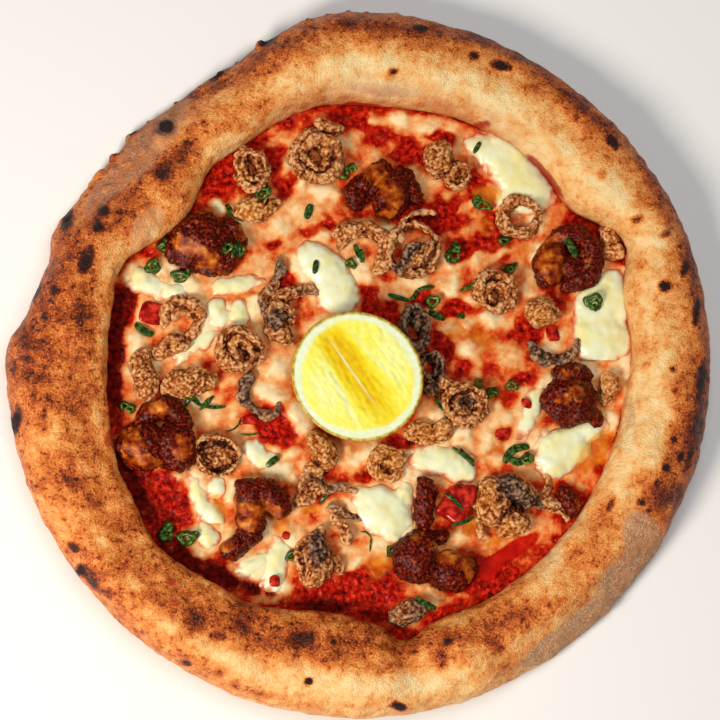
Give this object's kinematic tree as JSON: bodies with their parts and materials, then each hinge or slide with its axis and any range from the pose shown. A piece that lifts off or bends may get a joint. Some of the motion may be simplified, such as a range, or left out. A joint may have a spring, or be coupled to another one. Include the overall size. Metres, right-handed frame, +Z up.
{
  "type": "seafood pizza",
  "caption": "Round baked pizza with a raised browned rim, tomato sauce, melted mozzarella, prawns, fried squid, spring onion and a lemon half.",
  "frame": {"origin": "middle of the pizza's box, at the flat underside", "axes": "+Z up, out of the toppings; +Y is the far side as the pizza is seen; +X to the right"},
  "size_m": [0.3004, 0.3006, 0.0272],
  "materials": {
    "crust": "baked dough, matt, browned and blistered, dusted with flour low down",
    "tomato_sauce": "wet tomato sauce, glossy, uneven",
    "mozzarella": "melted cheese, smooth, slightly oily",
    "lemon": "wet cut lemon flesh inside a pale pith and a waxy yellow peel",
    "prawn": "glazed and charred prawn, glossy, amber to dark red-brown",
    "calamari": "fried squid in a thin crumbly batter, matt",
    "tomato": "cooked tomato, wet",
    "spring_onion": "chopped spring onion, dark to mid green"
  },
  "bodies": {
    "root": {"crust": "crust", "tomato_sauce": "tomato_sauce", "mozzarella_1": "mozzarella", "mozzarella_2": "mozzarella", "mozzarella_3": "mozzarella", "mozzarella_4": "mozzarella", "mozzarella_5": "mozzarella", "mozzarella_6": "mozzarella", "mozzarella_7": "mozzarella", "mozzarella_8": "mozzarella", "mozzarella_9": "mozzarella", "mozzarella_10": "mozzarella", "mozzarella_11": "mozzarella", "mozzarella_12": "mozzarella", "mozzarella_13": "mozzarella", "mozzarella_14": "mozzarella", "mozzarella_15": "mozzarella", "mozzarella_16": "mozzarella", "lemon_half": "lemon", "prawn_1": "prawn", "prawn_2": "prawn", "prawn_3": "prawn", "prawn_4": "prawn", "prawn_5": "prawn", "prawn_6": "prawn", "prawn_7": "prawn", "prawn_8": "prawn", "prawn_9": "prawn", "calamari_1": "calamari", "calamari_2": "calamari", "calamari_3": "calamari", "calamari_4": "calamari", "calamari_5": "calamari", "calamari_6": "calamari", "calamari_7": "calamari", "calamari_8": "calamari", "calamari_9": "calamari", "calamari_10": "calamari", "calamari_11": "calamari", "calamari_12": "calamari", "calamari_13": "calamari", "calamari_14": "calamari", "calamari_15": "calamari", "calamari_16": "calamari", "calamari_17": "calamari", "calamari_18": "calamari", "calamari_19": "calamari", "calamari_20": "calamari", "calamari_21": "calamari", "calamari_22": "calamari", "calamari_23": "calamari", "calamari_24": "calamari", "calamari_25": "calamari", "calamari_26": "calamari", "calamari_27": "calamari", "calamari_28": "calamari", "calamari_29": "calamari", "calamari_30": "calamari", "calamari_31": "calamari", "tomato_piece": "tomato"}
  },
  "joints": []
}
